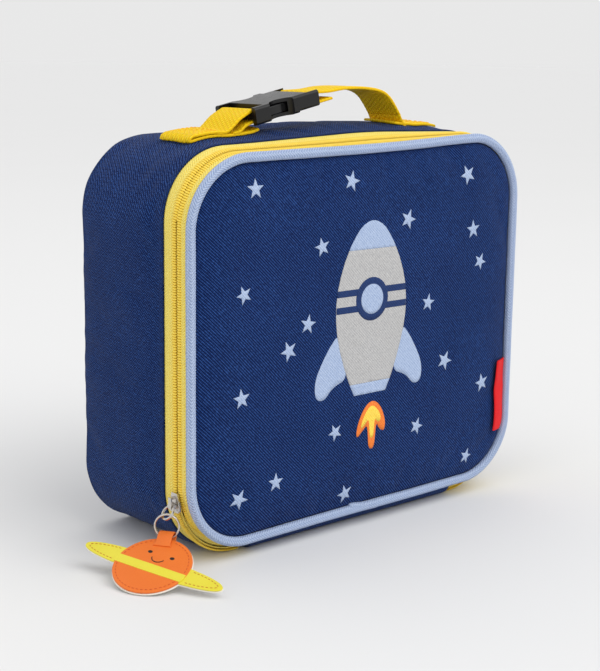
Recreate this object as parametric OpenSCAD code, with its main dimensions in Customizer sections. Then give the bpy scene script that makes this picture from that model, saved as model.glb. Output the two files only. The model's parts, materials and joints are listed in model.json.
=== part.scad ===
// Insulated lunch bag for a child: a soft box that stands on its base.
// The front panel is a lid, hinged along its bottom edge and closed by a coil
// zipper that runs up the left side, over the top and down the right side.
// Frame: X to the right, Y to the back, Z up; the origin is the centre of the base.

/* [Bag] */
// Width of the bag
bag_w = 229; // [210:1:260]
// Height of the bag
bag_h = 204; // [190:1:230]
// Depth of the bag
bag_d = 89; // [80:1:100]
// Radius of the four corners of the outline
corner_r = 36; // [33:1:40]
// Height of the lid's lower edge above the ground
lid_lift = 5.5; // [5:0.5:7]

/* [Layers] */
// Thickness of the outer fabric
fabric_t = 1.2; // [0.8:0.1:1.4]
// Thickness of the insulating foam
foam_t = 4; // [2:0.5:5]
// Thickness of the wipe-clean lining
lining_t = 0.6; // [0.4:0.1:0.8]
// Diameter of the piping round the lid
piping_d = 5; // [4:0.5:5]

/* [Zipper] */
// Width of both zipper tapes together
zipper_w = 20; // [18:1:22]
// Height of the slider on the left side when the zipper is closed
slider_z = 32.5; // [32:0.5:38]
// Diameter of the split ring, at the middle of its wire
ring_d = 11.8; // [11:0.2:12]

/* [Planet tag] */
// Radius of the tag's disc
tag_r = 19.3; // [17:0.1:20]
// Length of the tag's yellow ring from tip to tip
tag_band_l = 78; // [68:1:80]

/* [Handle] */
// Width of the handle's webbing
web_w = 25; // [20:1:26]
// Thickness of the webbing
web_t = 1.4; // [1.2:0.1:1.6]
// Angle at which the buckle climbs from left to right
buckle_tilt = 12; // [10:1:13]

/* [Hidden] */
$fn = 64;
gap = 0.1;                               // between pieces that lie on each other

// Depths are measured towards the front, from the middle of the bag.
front_f = bag_d / 2;
back_f = -bag_d / 2;
zip_f = front_f - zipper_w;              // where the fabric of the sides ends
zip_mid = zip_f + zipper_w / 2;          // between the two rows of coils
coil_w = 3.1;
coil_r = 0.75;
tape_t = 0.6;
tape_in = 2 * coil_r + 0.15;             // depth of the tape under the outline
channel = 0.8;                           // between the rows, for the slider's post
tape_end = 5;                            // the tapes and coils end on the bottom,
coil_end = 2;                            // this far past its corners
lid_top = bag_h - 1;                     // top of the lid's outline
wall_t = fabric_t + foam_t + lining_t + 2 * gap;
piping_in = 1.6;                         // centre of the piping inside the outline
panel_in = piping_in + piping_d / 2 + gap;

// The slider, its pull and the split ring hang from the left side.
side_x = -bag_w / 2;
plate_out = 0.2;                         // inner face of the slider's outer plate
plate_t = 1.1;
slider_l = 9.6;
slider_w = 8.4;
bridge_h = 2.7;
pull_pivot_out = plate_out + plate_t + 1.05;
pull_pivot_z = slider_z - 1;
pull_angle = 38;                         // the pull leans out from the side
pull_eye = 4.3;                          // from the pivot to the eye's centre
pull_wire = pull_eye + 0.8;              // from the pivot to the ring's wire
wire_r = 0.45;
ring_yaw = -45;
eye_pos = [
    side_x - pull_pivot_out - pull_wire * sin(pull_angle),
    -zip_mid,
    pull_pivot_z - pull_wire * cos(pull_angle),
];
ring_pos = eye_pos - [0, 0, ring_d / 2];
knot_pos = eye_pos - [0, 0, ring_d];     // where the ring passes through the tag

// The tag leans on the ground: its disc's lower rim is the lowest point.
tag_t = 2.3;
tag_reach = 20.5;                        // from the disc's centre to the wire
tag_yaw = -57;
tag_lean = asin((knot_pos.z - tag_t / 2 - gap) / (tag_r + tag_reach));
tag_tilt = -15;                          // the yellow ring's slant across the disc
tab_w = 7.4;

// The handle stands on two sewn feet; its buckle is at the left.
top_z = bag_h;
lean_max = 15;                           // the handle tips this far each way
lean_z = top_z + 1.6;                    // height of the line it tips about
foot_left = -65.5;
foot_right = 57.5;
buckle_pos = [-51, top_z + 9.6];         // left end of the buckle
buckle_w = 32;
buckle_t = 9;
female_l = 29;
male_l = 15;
bar_r = 1.5;
mouth_w = 26.4;                          // clear width inside the female half
mouth_h = 5.4;
arm_w = 3.2;
arm_t = 4.4;
arm_out = mouth_w / 2 - 0.15;
arm_x = 11.5;                            // where the tips of the arms end

navy = "#1d3768";
sky = "#a9bee0";
lemon = "#f3df72";
sun = "#f8c81c";
nickel = "#b9b6b2";
orange = "#e87a2a";
black = "#17181b";
silver = "#b8bcc2";

// ---------- helpers ----------

// Parts of the bag are drawn as seen from the front, x right, y up, z forwards.
module stand() rotate([90, 0, 0]) children();

// Rounded outline of the bag, pulled in by a margin, between two heights
module outline(y0 = 0, y1 = bag_h, in = 0) {
    half = bag_w / 2 - in;
    low = y0 + in;
    high = y1 - in;
    r = corner_r - in;
    translate([-half + r, low]) square([2 * (half - r), high - low]);
    translate([-half, low + r]) square([2 * half, high - low - 2 * r]);
    for (x = [-1, 1], y = [low + r, high - r])
        translate([x * (half - r), y]) circle(r);
}

module panel(f0, f1, in, y0 = 0, y1 = bag_h)
    translate([0, 0, f0]) linear_extrude(f1 - f0) outline(y0, y1, in);

module shell(f0, f1, in, t)
    translate([0, 0, f0]) linear_extrude(f1 - f0) difference() {
        outline(in = in);
        outline(in = in + t);
    }

// A 2D section (x outwards, y forwards) carried round the outline.
// ends is the length of the bottom run at each corner; 0 closes the loop.
module run(len) rotate([90, 0, 0]) linear_extrude(len) children();
module bend() rotate_extrude(angle = 90) translate([corner_r, 0]) children();
module rim(y0 = 0, y1 = bag_h, ends = 0) {
    cx = bag_w / 2 - corner_r;
    low = y0 + corner_r;
    high = y1 - corner_r;
    for (s = [0, 1]) {
        side = 2 * s - 1;
        translate([-side * bag_w / 2, s ? low : high])
            rotate(180 * s) run(high - low) children();
        translate([side * cx, high]) rotate(90 - 90 * s) bend() children();
        translate([side * cx, low]) rotate(180 + 90 * s) bend() children();
    }
    translate([-cx, y1]) rotate(90) run(2 * cx) children();
    if (ends == 0)
        translate([cx, y0]) rotate(270) run(2 * cx) children();
    else
        for (x = [cx, -cx + ends]) translate([x, y0]) rotate(270) run(ends) children();
}

// A flat strip of thickness t along a path
function unit(v) = v / norm(v);
function left_of(v) = [-v.y, v.x];
function heading(path, i) =
    unit(path[min(i + 1, len(path) - 1)] - path[max(i - 1, 0)]);
function strip(path, t) = concat(
    [for (i = [0 : len(path) - 1]) path[i] + left_of(heading(path, i)) * t / 2],
    [for (i = [len(path) - 1 : -1 : 0]) path[i] - left_of(heading(path, i)) * t / 2]);
function arc(centre, r, from, to, steps = 8) =
    [for (i = [0 : steps]) centre + r * [cos(from + (to - from) * i / steps),
                                         sin(from + (to - from) * i / steps)]];

// ---------- body of the bag ----------

module gusset_outer() color(navy) stand()
    shell(back_f + fabric_t + gap, zip_f - gap, 0, fabric_t);

module back_outer() color(navy) stand()
    panel(back_f, back_f + fabric_t, 0);

module gusset_foam() color("white") stand()
    shell(back_f + fabric_t + foam_t + 3 * gap, zip_f - 2.4, fabric_t + gap, foam_t);

module back_foam() color("white") stand()
    panel(back_f + fabric_t + gap, back_f + fabric_t + gap + foam_t, fabric_t + gap);

module gusset_lining() color(silver) stand()
    shell(back_f + wall_t + gap, zip_f - 2.4, wall_t - lining_t, lining_t);

module back_lining() color(silver) stand()
    panel(back_f + wall_t - lining_t, back_f + wall_t, wall_t - lining_t);

module binding_back() color(silver) stand()
    rim() translate([-wall_t - gap - 1.2, back_f + wall_t + gap]) square([1.2, 8]);

module binding_gusset() color(silver) stand()
    rim() translate([-wall_t - gap, zip_f - 2.3]) square([wall_t - fabric_t, 2.2]);

// Strip under the lid's lower edge, between the two ends of the zipper
module hinge_fabric() color(navy) stand()
    translate([-bag_w / 2 + corner_r + tape_end + 0.2, 0, zip_f])
        cube([bag_w - 2 * (corner_r + tape_end + 0.2), fabric_t, 13]);

pocket_w = 180;
pocket_h = 92;
pocket_y = 16;
pocket_depth = 6;
mesh_t = 0.8;
module mesh_pocket() color("#3a4354") stand() {
    f0 = back_f + wall_t + gap;
    difference() {
        translate([-pocket_w / 2, pocket_y, f0]) cube([pocket_w, pocket_h, pocket_depth]);
        translate([-pocket_w / 2 + mesh_t, pocket_y + mesh_t, f0 - 1])
            cube([pocket_w - 2 * mesh_t, pocket_h, pocket_depth + 1 - mesh_t]);
    }
}

module pocket_elastic() color(navy) stand()
    translate([-pocket_w / 2, pocket_y + pocket_h - 10,
               back_f + wall_t + 2 * gap + pocket_depth])
        cube([pocket_w, 10, 1]);

// ---------- zipper ----------

module tape_section(f0, f1) translate([-tape_in - tape_t, f0]) square([tape_t, f1 - f0]);
module coil_section(f0) {
    x = -coil_r - 0.05;
    for (f = [coil_r, coil_w - coil_r]) translate([x, f0 + f]) circle(coil_r, $fn = 24);
    translate([x - coil_r, f0 + coil_r]) square([2 * coil_r, coil_w - 2 * coil_r]);
}

module zipper_tape_body() color(lemon) stand()
    rim(ends = tape_end) tape_section(zip_f, zip_mid - channel / 2);

module zipper_coil_body() color(lemon) stand()
    rim(ends = coil_end) coil_section(zip_mid - channel / 2 - coil_w);

module zipper_tape_lid() color(lemon) stand()
    rim(lid_lift, lid_top, ends = tape_end)
        tape_section(zip_mid + channel / 2, front_f - piping_d / 2 - 0.5);

module zipper_coil_lid() color(lemon) stand()
    rim(lid_lift, lid_top, ends = coil_end) coil_section(zip_mid + channel / 2);

// Metal clips that end the coils, one at each side of the bottom
module zipper_stops() color(nickel) stand()
    for (x = [-1, 1])
        translate([x * (bag_w / 2 - corner_r - coil_end - 1.2) - 1, 0.05,
                   zip_mid - channel / 2 - coil_w])
            cube([2, tape_in - 0.1, coil_w]);

module slider_plate(w_top, w_bottom, t) rotate([0, -90, 0]) linear_extrude(t)
    polygon([[-w_bottom / 2 + 1, -slider_l / 2], [w_bottom / 2 - 1, -slider_l / 2],
             [w_bottom / 2, -slider_l / 2 + 1], [w_bottom / 2, -1],
             [w_top / 2, 1.5], [w_top / 2 - 1, slider_l / 2],
             [-w_top / 2 + 1, slider_l / 2], [-w_top / 2, 1.5],
             [-w_bottom / 2, -1], [-w_bottom / 2, -slider_l / 2 + 1]]);

// Two plates joined by a post that stands between the rows of coils; the
// inner plate reaches under the body's row only, so the lid's row slips out.
module slider_body() color(nickel) stand() translate([side_x, slider_z, zip_mid]) {
    inner_out = -tape_in - tape_t - 1.5;
    translate([-plate_out, 0, 0]) slider_plate(6.4, slider_w, plate_t);
    intersection() {
        translate([-inner_out + 1, 0, 0]) slider_plate(6.4, slider_w, 1);
        translate([0, -slider_l, -slider_w]) cube([9, 2 * slider_l, slider_w + 0.25]);
    }
    translate([-plate_out, 1, -0.25]) cube([plate_out - inner_out + 0.1, 3.4, 0.5]);
}

// Arch over the slider that carries the pull
module slider_bridge() color(nickel) stand()
    translate([side_x - plate_out - plate_t, slider_z, zip_mid - 1.1])
        linear_extrude(2.2) difference() {
            translate([-bridge_h, -3]) square([bridge_h, 6]);
            translate([-bridge_h + 0.9, -2]) square([bridge_h, 4]);
        }

module slider_pull() color(nickel) stand()
    translate([side_x - pull_pivot_out, pull_pivot_z, zip_mid])
        rotate([0, 0, -pull_angle]) rotate([0, 90, 0]) {
            translate([0, 0, -0.4]) linear_extrude(0.8) difference() {
                union() {
                    translate([-2.7, -pull_eye]) square([5.4, pull_eye]);
                    translate([0, -pull_eye]) circle(3.85);
                }
                translate([-1.5, -pull_eye]) square([3, pull_eye - 0.55]);
                translate([0, -pull_eye]) circle(2.95);
            }
            translate([-2.7, 0, 0]) rotate([0, 90, 0]) cylinder(h = 5.4, r = 0.6, $fn = 24);
        }

// Two turns of round wire lying on each other
module split_ring() color(nickel) translate(ring_pos) rotate([90, 0, ring_yaw])
    rotate_extrude() for (z = [-1, 1])
        translate([ring_d / 2, z * (wire_r - 0.05)]) circle(wire_r, $fn = 24);

// ---------- planet tag ----------

module on_tag() translate(knot_pos) rotate([tag_lean, 0, tag_yaw])
    translate([0, -tag_reach, 0]) children();

function oval(a, b, n = 48) = [for (i = [0 : n - 1]) [a * cos(360 * i / n), b * sin(360 * i / n)]];

module band_outline(grow = 0) rotate(tag_tilt) polygon(oval(tag_band_l / 2 + grow, 6.2 + grow));
module band_strip() rotate(tag_tilt) translate([-tag_r, -4.6]) square([2 * tag_r, 5]);
module tab_notch() translate([-tab_w / 2 - gap, tag_r - 3]) square([tab_w + 2 * gap, 9]);

module tag_back() color("white") on_tag() translate([0, 0, -tag_t / 2])
    linear_extrude(0.9) difference() {
        union() {
            circle(tag_r);
            band_outline(0.3);
        }
        tab_notch();
    }

module tag_planet() color(orange) on_tag() translate([0, 0, -tag_t / 2 + 0.9 + gap])
    linear_extrude(0.8) difference() {
        circle(tag_r - 0.3);
        tab_notch();
    }

module tag_ring() color("#e6da3c") on_tag() {
    translate([0, 0, -tag_t / 2 + 0.9 + gap]) linear_extrude(1.3) difference() {
        band_outline();
        circle(tag_r - 0.2);
    }
    translate([0, 0, -tag_t / 2 + 1.7 + 2 * gap]) linear_extrude(0.4)
        intersection() {
            band_strip();
            circle(tag_r);
        }
}

// Tab of the tag, folded round the split ring
module tag_loop() color(orange) on_tag() difference() {
    union() {
        translate([-tab_w / 2, tag_r - 2.9, -tag_t / 2]) cube([tab_w, 4, tag_t]);
        translate([-tab_w / 2, tag_reach, 0]) rotate([0, 90, 0]) cylinder(h = tab_w, r = 3.3);
    }
    translate([-tab_w, tag_reach, 0]) rotate([0, 90, 0]) cylinder(h = 2 * tab_w, r = 2.65);
}

// ---------- lid ----------

module front_outer() color(navy) stand()
    panel(front_f - fabric_t, front_f, panel_in, lid_lift, lid_top);

module front_foam() color("white") stand()
    panel(front_f - fabric_t - gap - foam_t, front_f - fabric_t - gap,
          panel_in, lid_lift, lid_top);

module front_lining() color(silver) stand()
    panel(front_f - wall_t, front_f - wall_t + lining_t, panel_in, lid_lift, lid_top);

module binding_lid() color(silver) stand()
    rim(lid_lift, lid_top) translate([-panel_in + gap, front_f - wall_t])
        square([panel_in - tape_in - tape_t - 2 * gap, 2.6]);

module piping() color(sky) stand()
    rim(lid_lift, lid_top)
        translate([-piping_in, front_f - 0.3]) circle(piping_d / 2, $fn = 32);

// Folded woven label, sewn in beside the piping at the right
label_w = 8.5;
label_h = 41;
label_z = 35;
module side_label() color("#d8171f") stand()
    translate([bag_w / 2 - panel_in - label_w - 0.8, label_z, front_f + gap])
        cube([label_w, label_h, 1.4]);

// ---------- handle ----------

module web(path) stand() translate([0, 0, -web_w / 2])
    linear_extrude(web_w) polygon(strip(path, web_t));

// Room for the handle to tip both ways over its feet
module tip_room() for (s = [-1, 1])
    translate([0, 0, lean_z]) rotate([s * lean_max, 0, 0])
        translate([-bag_w, -bag_d, -40]) cube([2 * bag_w, 2 * bag_d, 40 + gap]);

module webbing_base_left() color(sun) translate([-89, -web_w / 2, top_z + gap])
    cube([36, web_w, web_t]);

module webbing_base_right() color(sun) translate([51, -web_w / 2, top_z + gap])
    cube([30, web_w, web_t]);

function on_buckle(p) = buckle_pos
    + [p.x * cos(buckle_tilt) - p.y * sin(buckle_tilt),
       p.x * sin(buckle_tilt) + p.y * cos(buckle_tilt)];
web_turn = 1.45 * bar_r + web_t / 2;     // radius of the webbing round a bar
female_bar = 1.5;
male_bar = female_l + male_l - 1.6;

module webbing_left() color(sun) difference() {
    web(concat([[foot_left, lean_z], [foot_left + 7, lean_z + 5.8]],
        [for (p = arc([female_bar, 0], web_turn, 90, -90)) on_buckle(p)],
        [[foot_left + 11, lean_z + 3.6], [foot_left + 6, lean_z]]));
    tip_room();
}

module webbing_right() color(sun) difference() {
    web([[foot_right, lean_z], [foot_right - 9.2, top_z + 15.6]]);
    tip_room();
}

module webbing_top() color(sun)
    web(concat([for (u = [14, 4]) on_buckle([male_bar + u, -web_turn])],
        [for (p = arc([male_bar, 0], web_turn, 270, 90)) on_buckle(p)],
        [[1, top_z + 21.6], [14, top_z + 23], [28, top_z + 23], [38, top_z + 21.8]],
        arc([41.5, top_z + 17.6], 4.6, 85, 40, 4)));

module on_handle() stand() translate([buckle_pos.x, buckle_pos.y, 0])
    rotate([0, 0, buckle_tilt]) children();

// Flat block, x along the buckle, with its long edges rounded
module buckle_block(x0, x1, w, t) translate([x0, 0, 0]) rotate([0, 90, 0])
    linear_extrude(x1 - x0) {
        edge_r = 1.6;
        square([w - 2 * edge_r, t], center = true);
        square([w, t - 2 * edge_r], center = true);
        for (x = [-1, 1], y = [-1, 1])
            translate([x * (w / 2 - edge_r), y * (t / 2 - edge_r)]) circle(edge_r, $fn = 32);
    }

module buckle_female() color(black) on_handle() difference() {
    buckle_block(0, female_l, buckle_w, buckle_t);
    // cavity for the prongs, open at the right
    translate([10, -mouth_h / 2, -mouth_w / 2]) cube([female_l, mouth_h, mouth_w]);
    // scooped sides where the fingers press the latch arms
    for (s = [-1, 1]) translate([17.5, 0, s * 19.4]) rotate([90, 0, 0])
        cylinder(h = 2 * buckle_t, r = 8.6, center = true);
    // slot for the webbing, leaving a bar at the left
    translate([2 * bar_r, -buckle_t, -web_w / 2 - 0.6]) cube([4.4, 2 * buckle_t, web_w + 1.2]);
    for (s = [-1, 1]) translate([-1, s > 0 ? bar_r : -bar_r - buckle_t, -web_w / 2 - 0.6])
        cube([2 * bar_r + 1.1, buckle_t, web_w + 1.2]);
}

module buckle_male() color(black) on_handle() {
    difference() {
        buckle_block(female_l + 0.3, female_l + male_l, buckle_w - 3, buckle_t - 0.6);
        translate([male_bar - bar_r - 4.2, -buckle_t, -web_w / 2 - 0.6])
            cube([4.2, 2 * buckle_t, web_w + 1.2]);
        for (s = [-1, 1])
            translate([male_bar - bar_r - 0.1, s > 0 ? bar_r : -bar_r - buckle_t,
                       -web_w / 2 - 0.6])
                cube([male_l, buckle_t, web_w + 1.2]);
    }
    translate([11.5, -1.4, -2.5]) cube([female_l - 11, 2.8, 5]);
}

// Springy arm of the male half, on the front side; its tip swells outwards
module latch_arm() rotate([90, 0, 0]) translate([0, 0, -arm_t / 2]) linear_extrude(arm_t)
    difference() {
        translate([arm_x, arm_out - arm_w - 1]) square([female_l - arm_x - 0.2, arm_w + 1]);
        translate([21, arm_out - arm_w - 14.4]) circle(14);
        translate([24, arm_out + 10.9]) circle(12);
    }
module latch_arm_front() color(black) on_handle() latch_arm();
module latch_arm_back() color(black) on_handle() mirror([0, 0, 1]) latch_arm();

gusset_outer();
back_outer();
gusset_foam();
back_foam();
gusset_lining();
back_lining();
binding_back();
binding_gusset();
hinge_fabric();
mesh_pocket();
pocket_elastic();
zipper_tape_body();
zipper_coil_body();
zipper_stops();
webbing_base_left();
webbing_base_right();
front_outer();
front_foam();
front_lining();
binding_lid();
piping();
zipper_tape_lid();
zipper_coil_lid();
side_label();
slider_body();
slider_bridge();
slider_pull();
split_ring();
tag_back();
tag_planet();
tag_ring();
tag_loop();
webbing_left();
webbing_right();
buckle_female();
buckle_male();
webbing_top();
latch_arm_front();
latch_arm_back();
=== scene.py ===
import json
import math
from math import cos, pi, radians, sin

import bmesh
import bpy
import numpy as np
from mathutils import Matrix, Vector, noise
from mathutils.bvhtree import BVHTree

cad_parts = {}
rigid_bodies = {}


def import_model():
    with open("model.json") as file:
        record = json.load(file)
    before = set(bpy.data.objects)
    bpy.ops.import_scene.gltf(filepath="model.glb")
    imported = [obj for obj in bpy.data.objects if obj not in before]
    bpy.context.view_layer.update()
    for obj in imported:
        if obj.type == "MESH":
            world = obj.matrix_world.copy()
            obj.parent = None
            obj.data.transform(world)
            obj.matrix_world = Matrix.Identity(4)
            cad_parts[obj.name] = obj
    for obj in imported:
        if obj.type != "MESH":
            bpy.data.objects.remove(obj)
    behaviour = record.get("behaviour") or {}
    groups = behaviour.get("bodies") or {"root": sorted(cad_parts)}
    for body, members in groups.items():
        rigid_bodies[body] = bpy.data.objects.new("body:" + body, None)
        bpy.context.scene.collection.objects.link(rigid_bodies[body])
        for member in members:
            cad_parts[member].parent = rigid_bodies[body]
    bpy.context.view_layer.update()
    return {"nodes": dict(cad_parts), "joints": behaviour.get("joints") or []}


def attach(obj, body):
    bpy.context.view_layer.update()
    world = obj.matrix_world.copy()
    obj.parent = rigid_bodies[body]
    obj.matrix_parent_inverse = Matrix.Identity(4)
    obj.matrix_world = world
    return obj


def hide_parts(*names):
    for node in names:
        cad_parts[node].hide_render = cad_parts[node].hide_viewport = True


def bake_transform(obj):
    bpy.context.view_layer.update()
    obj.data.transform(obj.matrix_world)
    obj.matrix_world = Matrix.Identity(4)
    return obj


for o in list(bpy.data.objects):
    bpy.data.objects.remove(o)
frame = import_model()

# Sizes in millimetres, as in the CAD source. f is the depth towards the front, -Y.
MM = 0.001
W, H, R = 229, 204, 36          # the outline's width, height and corner radius
LID = (5.5, 203)                # the lid's lowest and highest z
TAU = 2 * pi


# ---------------- materials

def colour(r, g, b):
    """sRGB 0-255 to the linear colour that the shader takes."""
    lin = [c / 255 / 12.92 if c <= 10 else ((c / 255 + 0.055) / 1.055) ** 2.4 for c in (r, g, b)]
    return (*lin, 1)


class Mat:
    """A material whose pattern is built from the piece's own weave coordinates, in metres."""

    def __init__(self, name, **pins):
        self.mat = bpy.data.materials.new(name)
        self.mat.use_nodes = True
        self.nt = self.mat.node_tree
        self.shader = self.nt.nodes["Principled BSDF"]
        for pin, value in pins.items():
            self.shader.inputs[pin.replace("_", " ")].default_value = value

    def node(self, kind, **values):
        n = self.nt.nodes.new(kind)
        for key, value in values.items():
            setattr(n, key, value)
        return n

    def link(self, a, b):
        if isinstance(a, (int, float, tuple)):
            b.default_value = a
        else:
            self.nt.links.new(a, b)

    def math(self, op, a, b=0.0, c=None):
        n = self.node("ShaderNodeMath", operation=op)
        self.link(a, n.inputs[0])
        self.link(b, n.inputs[1])
        if c is not None:
            self.link(c, n.inputs[2])
        return n.outputs[0]

    def add(self, a, b):
        return self.math("ADD", a, b)

    def sub(self, a, b):
        return self.math("SUBTRACT", a, b)

    def mul(self, a, b):
        return self.math("MULTIPLY", a, b)

    def mad(self, a, b, c):
        """a * b + c"""
        return self.math("MULTIPLY_ADD", a, b, c)

    def weave(self):
        """(u, v) in metres, from the map that the piece was made with."""
        pin = self.node("ShaderNodeUVMap", uv_map="weave")
        parts = self.node("ShaderNodeSeparateXYZ")
        self.link(pin.outputs[0], parts.inputs[0])
        return parts.outputs[0], parts.outputs[1]

    def noise(self, scale, detail=2, rough=0.5):
        n = self.node("ShaderNodeTexNoise")
        self.link(self.node("ShaderNodeTexCoord").outputs["Object"], n.inputs["Vector"])
        n.inputs["Scale"].default_value = scale
        n.inputs["Detail"].default_value = detail
        n.inputs["Roughness"].default_value = rough
        return n.outputs[0]

    def wave(self, x, period, shift=0.0):
        """A sine along x, from 0 to 1."""
        s = self.math("SINE", self.mad(x, TAU / period, shift))
        return self.mad(s, 0.5, 0.5)

    def mix(self, k, a, b):
        n = self.node("ShaderNodeMix", data_type="RGBA")
        self.link(k, n.inputs[0])
        self.link(a, n.inputs[6])
        self.link(b, n.inputs[7])
        return n.outputs[2]

    def paint(self, c):
        self.link(c, self.shader.inputs["Base Color"])

    def rough(self, k, low, high):
        self.link(self.mad(k, high - low, low), self.shader.inputs["Roughness"])

    def bump(self, height, depth, strength=1.0):
        n = self.node("ShaderNodeBump")
        n.inputs["Distance"].default_value = depth
        n.inputs["Strength"].default_value = strength
        self.link(height, n.inputs["Height"])
        self.link(n.outputs[0], self.shader.inputs["Normal"])

    def finish(self, paint, rough, bump=None):
        """Colour from (how much, dark, light), roughness from (how much, low, high) and bumps from
        (height, depth, strength)."""
        self.paint(self.mix(*paint))
        self.rough(*rough)
        if bump:
            self.bump(*bump)
        return self.mat


def twill(name, dark, light, period=0.0017, depth=0.0003, relief_shade=1.1):
    """Fabric with diagonal ribs, cut across by the threads, and a faint uneven tone over larger patches. The
    raised threads are painted lighter and the hollows darker, and a fine fleck of painted thread glints is
    added: painted highlight and shade of the weave.
    """
    m = Mat(name, Roughness=0.85, Sheen_Weight=0.08, Sheen_Roughness=0.3, Specular_IOR_Level=0.12)
    u, v = m.weave()
    rib = m.wave(m.add(u, v), period)
    thread = m.wave(m.sub(u, v), period * 0.7)
    height = m.mul(m.mad(thread, 0.65, 0.35), rib)
    # fine speckle of painted thread glints
    glint_fleck = m.noise(820, 2, 0.6)
    cloud = m.noise(22, 3, 0.55)
    # colour: raised ribs painted lighter and hollows darker, plus the painted glints, as painted highlight
    # and shade; the cloud is uneven tone
    k = m.mad(height, relief_shade, m.mad(glint_fleck, 1.3, -0.85))
    k = m.add(k, m.mad(cloud, 0.3, -0.15))
    return m.finish((k, dark, light), (glint_fleck, 0.75, 0.95), (m.mad(glint_fleck, 0.35, height), depth))


def ribbed(name, dark, light, rib_u, rib_v, depth=0.0003, sheen=0.03, rough=0.8):
    """Narrow woven tape: V-shaped ribs along u whose arms change side every rib_v."""
    m = Mat(name, Roughness=rough, Sheen_Weight=sheen, Sheen_Roughness=0.4, Specular_IOR_Level=0.2)
    u, v = m.weave()
    zig = m.math("PINGPONG", v, rib_v)
    rib = m.wave(m.add(u, zig), rib_u)
    row = m.wave(v, rib_v)
    height = m.mad(row, 0.4, rib)
    glint_fleck = m.noise(900, 2, 0.6)
    # colour: raised ribs painted lighter and hollows darker, plus a fine fleck of painted glints: painted
    # highlight and shade of the weave
    k = m.mad(height, 0.5, m.mad(glint_fleck, 0.5, -0.15))
    return m.finish((k, dark, light),
                    (glint_fleck, rough - 0.1, rough + 0.1), (m.mad(glint_fleck, 0.2, height), depth))


def webbing_look():
    """Webbing: staggered rows of plump picks, like stitches."""
    m = Mat("webbing_weave", Roughness=0.65, Specular_IOR_Level=0.2)
    u, v = m.weave()
    row = 0.0018
    shift = m.mul(m.math("FLOOR", m.math("DIVIDE", v, row)), 0.0012)
    pick = m.wave(m.add(u, shift), 0.0024)
    rail = m.math("ABSOLUTE", m.math("SINE", m.mul(v, pi / row)))
    height = m.mul(m.mad(pick, 0.65, 0.35), rail)
    glint_fleck = m.noise(1300, 2, 0.6)
    # colour: raised picks painted lighter and the gaps between rows darker, plus a fine fleck of painted
    # glints: painted highlight and shade of the weave
    k = m.mad(height, 0.9, m.mad(glint_fleck, 0.4, -0.1))
    return m.finish((k, colour(240, 184, 0), colour(255, 226, 16)),
                    (glint_fleck, 0.5, 0.75), (m.mad(glint_fleck, 0.2, height), 0.0006))


def leather(name, base, light):
    m = Mat(name, Roughness=0.5, Specular_IOR_Level=0.45)
    grain = m.noise(1600, 3, 0.6)
    cloud = m.noise(60, 3)
    k = m.mad(grain, 0.5, m.mad(cloud, 0.5, -0.1))
    return m.finish((k, base, light), (grain, 0.42, 0.62), (grain, 0.00012, 0.6))


def grained(name, base, light, scale, rough, bump=None, **pins):
    """One noise of this scale, and more, shades the colour, the roughness and the surface."""
    m = Mat(name, **pins)
    grain = m.noise(*scale)
    return m.finish((grain, base, light), (grain, *rough), bump and (grain, *bump))


def plastic(name):
    m = Mat(name, Roughness=0.24, Specular_IOR_Level=0.4)
    speck = m.noise(1500, 3, 0.6)
    scuff = m.noise(140, 4, 0.7)
    return m.finish((scuff, colour(6, 6, 7), colour(17, 17, 19)),
                    (scuff, 0.18, 0.42), (speck, 0.00004, 0.5))


def print_ink(name, base, light):
    """Ink printed on the cloth: the weave still shows through."""
    m = Mat(name, Roughness=0.7, Specular_IOR_Level=0.3)
    u, v = m.weave()
    rib = m.mul(m.wave(m.add(u, v), 0.0017), m.wave(m.sub(u, v), 0.0013))
    glint_fleck = m.noise(820, 2, 0.6)
    # colour: raised crossings of the weave painted lighter through the ink, plus a fine fleck of painted
    # glints: painted highlight and shade
    k = m.mad(glint_fleck, 0.9, m.mad(rib, 0.8, -0.2))
    return m.finish((k, base, light), (glint_fleck, 0.6, 0.8), (m.mad(glint_fleck, 0.3, rib), 0.00012))


def thread_look(name, base):
    light = tuple(min(1, c * 1.5) for c in base[:3]) + (1,)
    return grained(name, base, light, (3000, 2), (0.5, 0.7), Roughness=0.6)


def film_look():
    """Wipe-clean film over foam: a faint sheen and shallow creases."""
    m = Mat("lining_film", Roughness=0.38, Specular_IOR_Level=0.4)
    crease = m.noise(55, 5, 0.65)
    fine = m.noise(500, 2)
    # the creases' hollows are painted darker: painted shade in the creases
    return m.finish((crease, colour(186, 192, 202), colour(222, 226, 232)),
                    (crease, 0.3, 0.5), (m.mad(fine, 0.1, crease), 0.0012, 0.5))


def net_look():
    """Knitted net: rows of staggered holes, painted near-black as painted shade seen through them."""
    m = Mat("mesh_knit", Roughness=0.8)
    u, v = m.weave()
    a = m.wave(m.add(u, m.mul(v, 0.58)), 0.0026)
    b = m.wave(m.sub(u, m.mul(v, 0.58)), 0.0026)
    hole = m.mul(a, b)
    # the holes are real openings; their near-black colour is painted shade
    k = m.mad(m.math("LESS_THAN", hole, 0.42), 0.9, m.mul(m.noise(1200), 0.1))
    return m.finish((k, colour(16, 19, 27), colour(62, 72, 96)),
                    (hole, 0.6, 0.95), (m.mul(hole, -1), 0.0005))


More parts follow.
